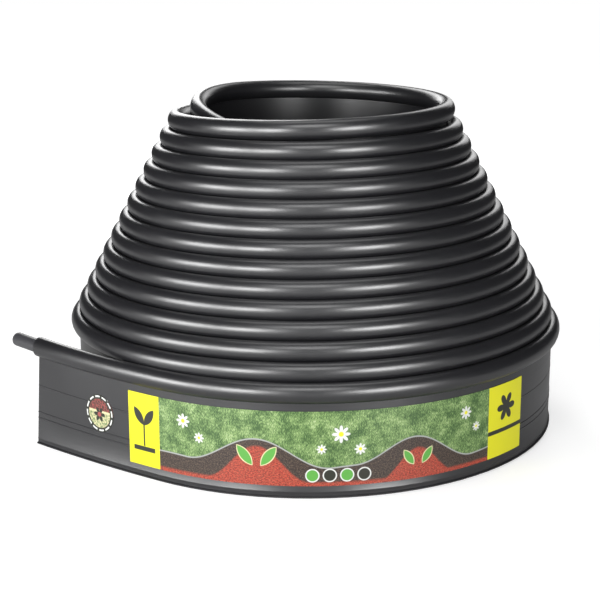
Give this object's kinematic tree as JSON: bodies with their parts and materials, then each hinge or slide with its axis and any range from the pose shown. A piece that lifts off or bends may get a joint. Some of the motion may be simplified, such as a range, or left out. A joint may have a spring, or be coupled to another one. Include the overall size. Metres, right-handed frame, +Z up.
{
  "type": "plastic lawn edging",
  "caption": "Coil of plastic lawn edging, with an oval bead along the top of a thin web, wound upwards into a cone, with its outer end free and a connector in the bead.",
  "frame": {"origin": "middle of the bounding box, at the floor that the coil stands on", "axes": "+Z up along the coil's axis, +X towards the right as the free end lies at the front left, -Y towards the front"},
  "size_m": [0.6062, 0.557, 0.3703],
  "materials": {
    "strip": "satin",
    "connector": "satin",
    "label": "printed film",
    "sticker": "printed film"
  },
  "bodies": {
    "root": {"edging_strip": "strip", "end_connector": "connector", "wrap_label": "label", "round_sticker": "sticker"}
  },
  "joints": []
}
